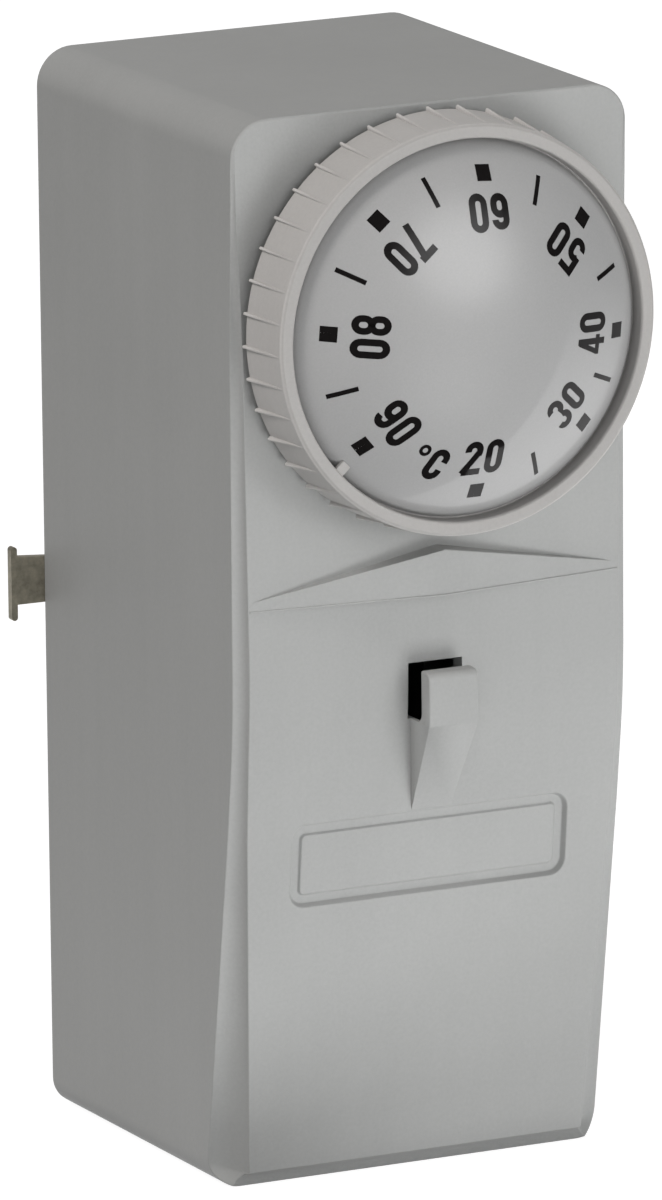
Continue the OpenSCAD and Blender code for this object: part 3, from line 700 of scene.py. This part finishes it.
class THERMOSTAT_OT_dial(bpy.types.Operator):
    """Spins the domed dial disc"""
    bl_idname = "thermostat.dial"
    bl_label = "Dial disc"

    def execute(self, context):
        dial = settings().dial
        paint = painted_dial("dial_paint", tuple(dial.colour))
        edge = dial.edge_radius
        lip = 18.1 * MM               # the inside of the disc's turned-back edge
        low = 6.42 * MM               # the edge's back
        under = dial.sphere_radius - 1.1 * MM
        dome = [(r, dome_out(dial, r) - self.roll_off(dial, r)) for r in (edge * i / 64 for i in range(65))]
        inner = [(r, dial.middle_out - dial.sphere_radius + sqrt(under ** 2 - r ** 2))
                 for r in (lip * i / 24 for i in range(24, -1, -1))]
        outline = dome + [(edge, low), (lip, low)] + inner
        made = revolve(outline)
        smooth_by_angle(made, radians(34))
        piece("dial_dome", made, "knob", paint, "dial_silver", "dial_disc")
        return {"FINISHED"}

    def roll_off(self, dial, r):
        """How far the dial's rolled edge falls below its dome."""
        width = 1.2 * MM
        depth = 0.75 * MM
        t = max(0, (r - dial.edge_radius + width) / width)
        return depth * (1 - sqrt(max(0, 1 - t * t)))


def dome_out(dial, r):
    """How far the dial stands off the front plane at a radius."""
    return dial.middle_out - dial.sphere_radius + sqrt(dial.sphere_radius ** 2 - r ** 2)


class Pen:
    """Draws flat strokes of ink: an edge as wide as the stroke is pushed along and turned."""

    def __init__(self, made, width, x, y, heading):
        self.made = made
        self.place = Vector((x, y, 0))
        self.heading = heading
        across = Vector((-sin(heading), cos(heading), 0)) * width / 2
        verts = [made.verts.new(self.place + across), made.verts.new(self.place - across)]
        self.tip = [made.edges.new(verts)]

    def line(self, length, parts=6):
        ahead = Vector((cos(self.heading), sin(self.heading), 0))
        for _ in range(parts):
            made = bmesh.ops.extrude_edge_only(self.made, edges=self.tip)["geom"]
            verts = [g for g in made if isinstance(g, bmesh.types.BMVert)]
            bmesh.ops.translate(self.made, vec=ahead * length / parts, verts=verts)
            self.tip = [g for g in made if isinstance(g, bmesh.types.BMEdge)]
        self.place += ahead * length
        return self

    def arc(self, radius, angle, parts=10):
        """Turns left by a positive angle, right by a negative one."""
        side = 1 if angle > 0 else -1
        centre = self.place + Vector((-sin(self.heading), cos(self.heading), 0)) * radius * side
        made = bmesh.ops.spin(self.made, geom=self.tip + list(self.tip[0].verts), cent=centre, axis=(0, 0, 1),
                              dvec=(0, 0, 0), angle=angle, steps=parts)["geom_last"]
        self.tip = [g for g in made if isinstance(g, bmesh.types.BMEdge)]
        turn = Matrix.Rotation(angle, 4, "Z")
        self.place = centre + turn @ (self.place - centre)
        self.heading += angle
        return self


DIGIT_W = 2.02 * MM
DIGIT_H = 3.8 * MM
STROKE = 0.72 * MM            # width of a printed stroke


def digit(made, character, x):
    """One condensed character with its lower left corner at x. A 9 is a turned 6."""
    r = (DIGIT_W - STROKE) / 2
    left = x + STROKE / 2
    right = x + DIGIT_W - STROKE / 2
    low = STROKE / 2
    top = DIGIT_H - low
    up = pi / 2
    nip = (top - low) / 16        # the straight piece in the waist of the 3
    before = set(made.verts)

    def pen(px, py, heading, width=STROKE):
        return Pen(made, width, px, py, heading)

    if character == "0":
        side = DIGIT_H / 2 - low - r
        for px, heading in ((left, up), (right, -up)):
            pen(px, DIGIT_H / 2, heading).line(side).arc(r, -pi).line(side)
    if character == "2":
        pen(left, top - r - 0.15 * MM, up).line(0.15 * MM, 1).arc(r, -pi).arc(r * 2.4, radians(-22), 5)
        pen(right - 0.1 * MM, top - r - 0.25 * MM, radians(-114)).line(0.3 * MM, 2)
        lean = atan((top - r - low - 0.55 * MM) / (DIGIT_W - STROKE))
        run = hypot(0.62 * MM + r * 0.85, top - r - low - 0.35 * MM)
        pen(right - 0.14 * MM, top - r - 0.35 * MM, pi + lean).line(run * 1.12)
        pen(x, low, 0).line(DIGIT_W)
    if character == "3":
        pen(left, top - r + 0.1 * MM, up).arc(r, -pi).line(nip).arc(r * 0.85, radians(-85))
        pen(left, low + r - 0.1 * MM, -up).arc(r, pi).line(nip).arc(r * 0.85, radians(85))
    if character == "4":
        stem = x + DIGIT_W - 0.58 * MM
        bar = DIGIT_H * 0.27
        rise = DIGIT_H - 0.2 * MM - bar
        run = stem - 0.16 * MM - (x + 0.3 * MM)
        pen(stem, 0, up, STROKE * 0.92).line(DIGIT_H)
        pen(x + 0.05 * MM, bar, 0, STROKE * 0.8).line(DIGIT_W + 0.05 * MM)
        pen(x + 0.3 * MM, bar - 0.02 * MM, atan(rise / run), STROKE * 0.75).line(hypot(rise, run))
    if character == "5":
        pen(x + DIGIT_W, top, pi).line(DIGIT_W)
        pen(left, DIGIT_H, -up).line(DIGIT_H * 0.56)
        pen(left, top - 1.75 * MM, radians(62)).arc(r * 0.98, radians(-152)).line(0.55 * MM).arc(r, -pi)
    if character in "69":
        pen(left, low + r, up).line(1.5 * MM).arc(r, -pi * 0.98)
        pen(left, low + r + 0.35 * MM, up).arc(r, -pi).line(0.35 * MM).arc(r, -pi)
    if character == "7":
        lean = atan(DIGIT_H / (DIGIT_W * 0.52))
        tall = DIGIT_H - 0.1 * MM
        pen(x, top, 0).line(DIGIT_W)
        pen(x + DIGIT_W - STROKE * 0.55, tall, -pi + lean).line(tall / sin(lean))
    if character == "8":
        ring = (top - low) / 2
        bend = min(r, ring / 2)
        side = max(ring / 2 - bend, 0.001 * MM)
        for middle in (low + ring / 2, low + ring * 3 / 2):
            for px, heading in ((left, up), (right, -up)):
                pen(px, middle, heading, STROKE * 0.97).line(side, 1).arc(bend, -pi).line(side, 1)
    fresh = newer(made, before)
    if character == "9":
        middle = (x + DIGIT_W / 2, DIGIT_H / 2, 0)
        bmesh.ops.rotate(made, cent=middle, matrix=Matrix.Rotation(pi, 3, "Z"), verts=fresh)
    return fresh


class THERMOSTAT_OT_scale(bpy.types.Operator):
    """Prints the temperature scale on the dome"""
    bl_idname = "thermostat.scale"
    bl_label = "Printed scale"

    # printed temperature and the angle in degrees of its square mark, anticlockwise from the right
    TENS = ((20, -89.64), (30, -40.49), (40, -5.02), (50, 40.26), (60, 85.49), (70, 130.10), (80, 174.77),
            (90, 219.58))
    FIVES = (-64.92, -22.86, 17.69, 63.02, 107.94, 152.45, 197.05)

    def execute(self, context):
        dial = settings().dial
        ink = scale_ink("scale_ink", tuple(dial.ink))
        made = bmesh.new()
        for value, angle in self.TENS:
            self.mark(made, angle, 15.65 * MM, 17.23 * MM, 1.6 * MM)
            self.number(made, str(value), angle)
        for angle in self.FIVES:
            self.mark(made, angle, 14.27 * MM, 17.24 * MM, 0.5 * MM)
        self.degree_sign(made)
        self.celsius(made)
        self.lay_on_dome(made, dial)
        piece("dial_scale", made, "knob", ink, "black_plastic")
        return {"FINISHED"}

    def set_at(self, made, fresh, radius, angle, turn):
        """Turns new strokes and sets their origin at a radius and an angle in degrees."""
        if turn:
            bmesh.ops.rotate(made, cent=(0, 0, 0), matrix=Matrix.Rotation(radians(turn), 3, "Z"), verts=fresh)
        angle = radians(angle)
        bmesh.ops.translate(made, vec=(radius * cos(angle), radius * sin(angle), 0), verts=fresh)

    def mark(self, made, angle, inner, outer, width):
        before = set(made.verts)
        Pen(made, width, 0, 0, 0).line(outer - inner)
        self.set_at(made, newer(made, before), inner, angle, angle)

    def number(self, made, text, angle):
        """Two digits, read with their heads towards the dial's middle."""
        gap = 0.39 * MM
        fresh = digit(made, text[0], -DIGIT_W - gap / 2) + digit(made, text[1], gap / 2)
        bmesh.ops.translate(made, vec=(0, -DIGIT_H / 2, 0), verts=fresh)
        self.set_at(made, fresh, 12.61 * MM, angle, angle + 90)

    def degree_sign(self, made):
        before = set(made.verts)
        Pen(made, 0.36 * MM, 0.45 * MM, 0, pi / 2).arc(0.45 * MM, 2 * pi, 20)
        self.set_at(made, newer(made, before), 12.95 * MM, -120, 0)

    def celsius(self, made):
        before = set(made.verts)
        r = (DIGIT_W - STROKE) / 2
        side = DIGIT_H / 2 * 0.92 - STROKE / 2 - r
        for way in (1, -1):
            Pen(made, STROKE, -r, 0, way * pi / 2).line(side).arc(r, -way * pi).line(0.3 * MM, 2)
        self.set_at(made, newer(made, before), 13.87 * MM, -111.4, -27.4)

    def lay_on_dome(self, made, dial):
        """Gives the flat print its places on the dome, a film's thickness above the paint."""
        film = 0.012 * MM
        for v in made.verts:
            r = hypot(v.co.x, v.co.y)
            v.co = Vector((v.co.x, FRONT_Y - dome_out(dial, r) - film, KNOB_Z + v.co.y))
        bmesh.ops.remove_doubles(made, verts=made.verts, dist=0.0002 * MM)
        for face in made.faces:
            face.normal_update()
            if face.normal.y > 0:
                face.normal_flip()
            face.smooth = True


class THERMOSTAT_OT_strap_bracket(bpy.types.Operator):
    """Gives the strap bracket rounded sheet edges and its plating"""
    bl_idname = "thermostat.strap_bracket"
    bl_label = "Strap bracket"

    def execute(self, context):
        zinc = plated_steel("zinc_plating", tuple(settings().metal.zinc))
        made = from_cad("strap_bracket")
        bracket = piece("strap_bracket_sheet", made, "housing", zinc, "zinc_steel", "strap_bracket")
        bevel = bracket.modifiers.new("sheet edges", "BEVEL")
        bevel.width = 0.12 * MM
        bevel.segments = 2
        bevel.limit_method = "ANGLE"
        bevel.angle_limit = radians(30)
        return {"FINISHED"}


class THERMOSTAT_OT_fittings(bpy.types.Operator):
    """Gives the base, the contact plate, the screws and the inner parts their finishes"""
    bl_idname = "thermostat.fittings"
    bl_label = "Base and inner parts"

    def execute(self, context):
        zinc = plated_steel("zinc_sheet", linear(158, 158, 152), 0.38)
        screw = bright_metal("screw_steel", linear(190, 188, 184), 0.3)
        copper = bright_metal("contact_copper", linear(184, 122, 84), 0.36)
        spring = bright_metal("spring_steel", linear(140, 141, 146), 0.3)
        brass = bright_metal("turned_brass", linear(204, 172, 104), 0.28)
        dark = moulded_plastic("switch_plastic", linear(34, 34, 36), 0.5, 0.01 * MM)
        base = moulded_plastic("base_plastic", linear(120, 120, 118), 0.5, 0.015 * MM)
        red = moulded_plastic("button_plastic", linear(160, 40, 34), 0.35, 0.004 * MM)
        white = moulded_plastic("pin_ceramic", linear(222, 216, 200), 0.3, 0.004 * MM)
        rubber = matt_rubber("grommet_rubber", linear(30, 30, 31))
        finishes = {
            zinc: ("mechanism_frame", "lever"),
            screw: ("bracket_screws", "frame_screws", "spindle", "lever_pin", "switch_screws",
                    "terminal_screws", "earth_screw", "clamp_screws", "cover_screws"),
            copper: ("contact_plate", "sensing_bulb", "capillary"),
            spring: ("bulb_spring", "knob_clip", "range_spring"),
            brass: ("expansion_capsule", "capsule_nut", "spindle_bush", "bush_nut", "range_nut",
                    "switch_terminals", "earth_terminal"),
            dark: ("switch_body", "cable_clamp"),
            base: ("base",),
            red: ("switch_button",),
            white: ("push_pin",),
            rubber: ("cable_grommet",),
        }
        for material, nodes in finishes.items():
            for name in nodes:
                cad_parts[name].material_slots[0].material = material
        return {"FINISHED"}


class THERMOSTAT_OT_stage(bpy.types.Operator):
    """Builds the floor, the lamps, the world and the camera"""
    bl_idname = "thermostat.stage"
    bl_label = "Studio"

    AIM = (0, 0, 0.055)           # the point that the lamps face
    # name, which is also the setting that holds its power, place, width and tint
    LAMPS = (
        ("key_lamp", (0.6, -1.1, 0.15), 0.35, (1, 1, 1)),
        ("top_lamp", (-0.72, -0.16, 0.88), 0.35, (1, 0.965, 0.94)),
        ("right_lamp", (0.85, -0.42, 0.58), 0.45, (1, 1, 1)),
        ("low_lamp", (0.2, -1.0, -0.45), 0.5, (1, 1, 1)),
        ("fill_lamp", (-0.53, -1.19, 0.12), 1.2, (1, 1, 1)),
        ("back_lamp", (0.5, 1.1, 0.6), 1, (1, 1, 1)),
    )

    def execute(self, context):
        stage = settings().stage
        self.floor(stage)
        self.world(stage)
        for name, place, size, tint in self.LAMPS:
            self.lamp(name, place, size, getattr(stage, name), tint)
        self.camera(stage)
        context.scene.view_settings.view_transform = "Standard"
        return {"FINISHED"}

    def floor(self, stage):
        """White paper that keeps the shadow and ends in front, so that the dial's gloss shows dark there."""
        made = bmesh.new()
        bmesh.ops.create_grid(made, x_segments=1, y_segments=1, size=3)
        ahead = Vector((sin(stage.azimuth), -cos(stage.azimuth), 0))
        bmesh.ops.bisect_plane(made, geom=made.verts[:] + made.edges[:] + made.faces[:], dist=SNAP,
                               plane_co=ahead * stage.paper_edge, plane_no=ahead, clear_outer=True)
        mesh = bpy.data.meshes.new("studio_floor")
        made.to_mesh(mesh)
        made.free()
        floor = bpy.data.objects.new("studio_floor", mesh)
        bpy.context.scene.collection.objects.link(floor)
        floor.data.materials.append(self.paper(stage))

    def paper(self, stage):
        """Paper that is white to the camera and fades with distance in reflections.

        To the right and in front of the object it also throws light up, like sunlit paper.
        """
        paper = Finish("floor_paper", Base_Color=(0.2, 0.2, 0.2), Roughness=0.9)
        x = paper.axis("X")
        y = paper.axis("Y")
        near = 1 / ((x * x + y * y) * 12 + 1)
        ahead = ((y * -125 - 1.5).clamp() + (x * 125 - 2.4).clamp()).clamp() * (x * 50 + 1).clamp()

        def glow(strength):
            return paper.node("ShaderNodeEmission", {}, {"Strength": strength}).outputs[0]

        def lit(strength):
            both = {0: paper.shader.outputs[0], 1: glow(strength)}
            return paper.node("ShaderNodeAddShader", {}, both).outputs[0]

        def either(rays, others, seen):
            inputs = {0: paper.light_paths(*rays), 1: others, 2: seen}
            return paper.node("ShaderNodeMixShader", {}, inputs).outputs[0]

        unseen = either(("Glossy", "Transmission"), lit(ahead * stage.front_glow), glow(near * 1.1))
        sheet = either(("Camera",), unseen, lit(0.94))
        paper.tree.links.new(sheet, paper.tree.nodes["Material Output"].inputs["Surface"])
        return paper.material

    def world(self, stage):
        """Faint even light with a dark room in front and a soft window in it, and a white backdrop."""
        world = bpy.data.worlds.new("studio_air")
        bpy.context.scene.world = world
        world.use_nodes = True
        air = Shop(world.node_tree)
        way = air.node("ShaderNodeTexCoord", {}, {}).outputs["Generated"]
        room = (air.dot(way, (0.26, -0.96, 0.14)) * 3.3 - 0.15).clamp()
        window = self.patch(air, way, radians(17), radians(19), radians(21), radians(18))
        light = (1 - room * stage.room) * stage.air + window * stage.window
        plain = air.node("ShaderNodeBackground", {}, {"Color": (1, 1, 1, 1), "Strength": light})
        white = air.node("ShaderNodeBackground", {}, {"Color": (1, 1, 1, 1), "Strength": 1})
        mix = air.node("ShaderNodeMixShader", {}, {
            0: air.light_paths("Camera", "Transmission"), 1: plain.outputs[0], 2: white.outputs[0]})
        air.tree.links.new(mix.outputs[0], air.tree.nodes["World Output"].inputs["Surface"])

    def patch(self, air, way, azimuth, elevation, wide, high):
        """1 in the middle of a soft-edged patch of the surroundings, and 0 well outside its half widths."""
        middle = Vector((sin(azimuth) * cos(elevation), -cos(azimuth) * cos(elevation), sin(elevation)))
        across = Vector((cos(azimuth), sin(azimuth), 0))
        above = across.cross(middle)
        a = air.dot(way, across) / sin(wide)
        b = air.dot(way, above) / sin(high)
        spread = a * a + b * b
        return (spread * spread * -1).maths("EXPONENT") * (air.dot(way, middle) > 0)

    def lamp(self, name, place, size, power, tint):
        light = bpy.data.lights.new(name, "AREA")
        light.size = size
        light.energy = power
        light.color = tint
        lamp = bpy.data.objects.new(name, light)
        bpy.context.scene.collection.objects.link(lamp)
        lamp.location = place
        lamp.rotation_euler = (Vector(self.AIM) - Vector(place)).to_track_quat("-Z", "Y").to_euler()
        lamp.visible_glossy = False

    def camera(self, stage):
        data = bpy.data.cameras.new("studio_camera")
        data.sensor_width = 36
        data.lens = stage.lens
        data.clip_start = 0.1
        data.clip_end = 20
        camera = bpy.data.objects.new("studio_camera", data)
        bpy.context.scene.collection.objects.link(camera)
        level = cos(stage.elevation)
        back = Vector((sin(stage.azimuth) * level, -cos(stage.azimuth) * level, sin(stage.elevation)))
        camera.location = Vector(stage.target) + back * stage.distance
        aim = (-back).to_track_quat("-Z", "Y").to_matrix().to_4x4()
        camera.rotation_euler = (aim @ Matrix.Rotation(-stage.roll, 4, "Z")).to_euler()
        bpy.context.scene.camera = camera


class THERMOSTAT_PT_pieces(bpy.types.Panel):
    bl_label = "Pipe Thermostat"
    bl_idname = "THERMOSTAT_PT_pieces"
    bl_space_type = "VIEW_3D"
    bl_region_type = "UI"
    bl_category = "Thermostat"

    def draw(self, context):
        for step in STEPS:
            self.layout.operator(step.bl_idname)


SETTINGS = (CoverSettings, KnobSettings, DialSettings, MetalSettings, StageSettings, ThermostatSettings)
STEPS = (THERMOSTAT_OT_cover, THERMOSTAT_OT_knob, THERMOSTAT_OT_dial, THERMOSTAT_OT_scale,
         THERMOSTAT_OT_strap_bracket, THERMOSTAT_OT_fittings, THERMOSTAT_OT_stage)


def register():
    for item in SETTINGS + STEPS + (THERMOSTAT_PT_pieces,):
        bpy.utils.register_class(item)
    bpy.types.Scene.pipe_thermostat = bpy.props.PointerProperty(type=ThermostatSettings)


def unregister():
    del bpy.types.Scene.pipe_thermostat
    for item in reversed(SETTINGS + STEPS + (THERMOSTAT_PT_pieces,)):
        bpy.utils.unregister_class(item)


def main():
    register()
    bpy.ops.thermostat.cover()
    bpy.ops.thermostat.knob()
    bpy.ops.thermostat.dial()
    bpy.ops.thermostat.scale()
    bpy.ops.thermostat.strap_bracket()
    bpy.ops.thermostat.fittings()
    bpy.ops.thermostat.stage()


if __name__ == "__main__":
    main()
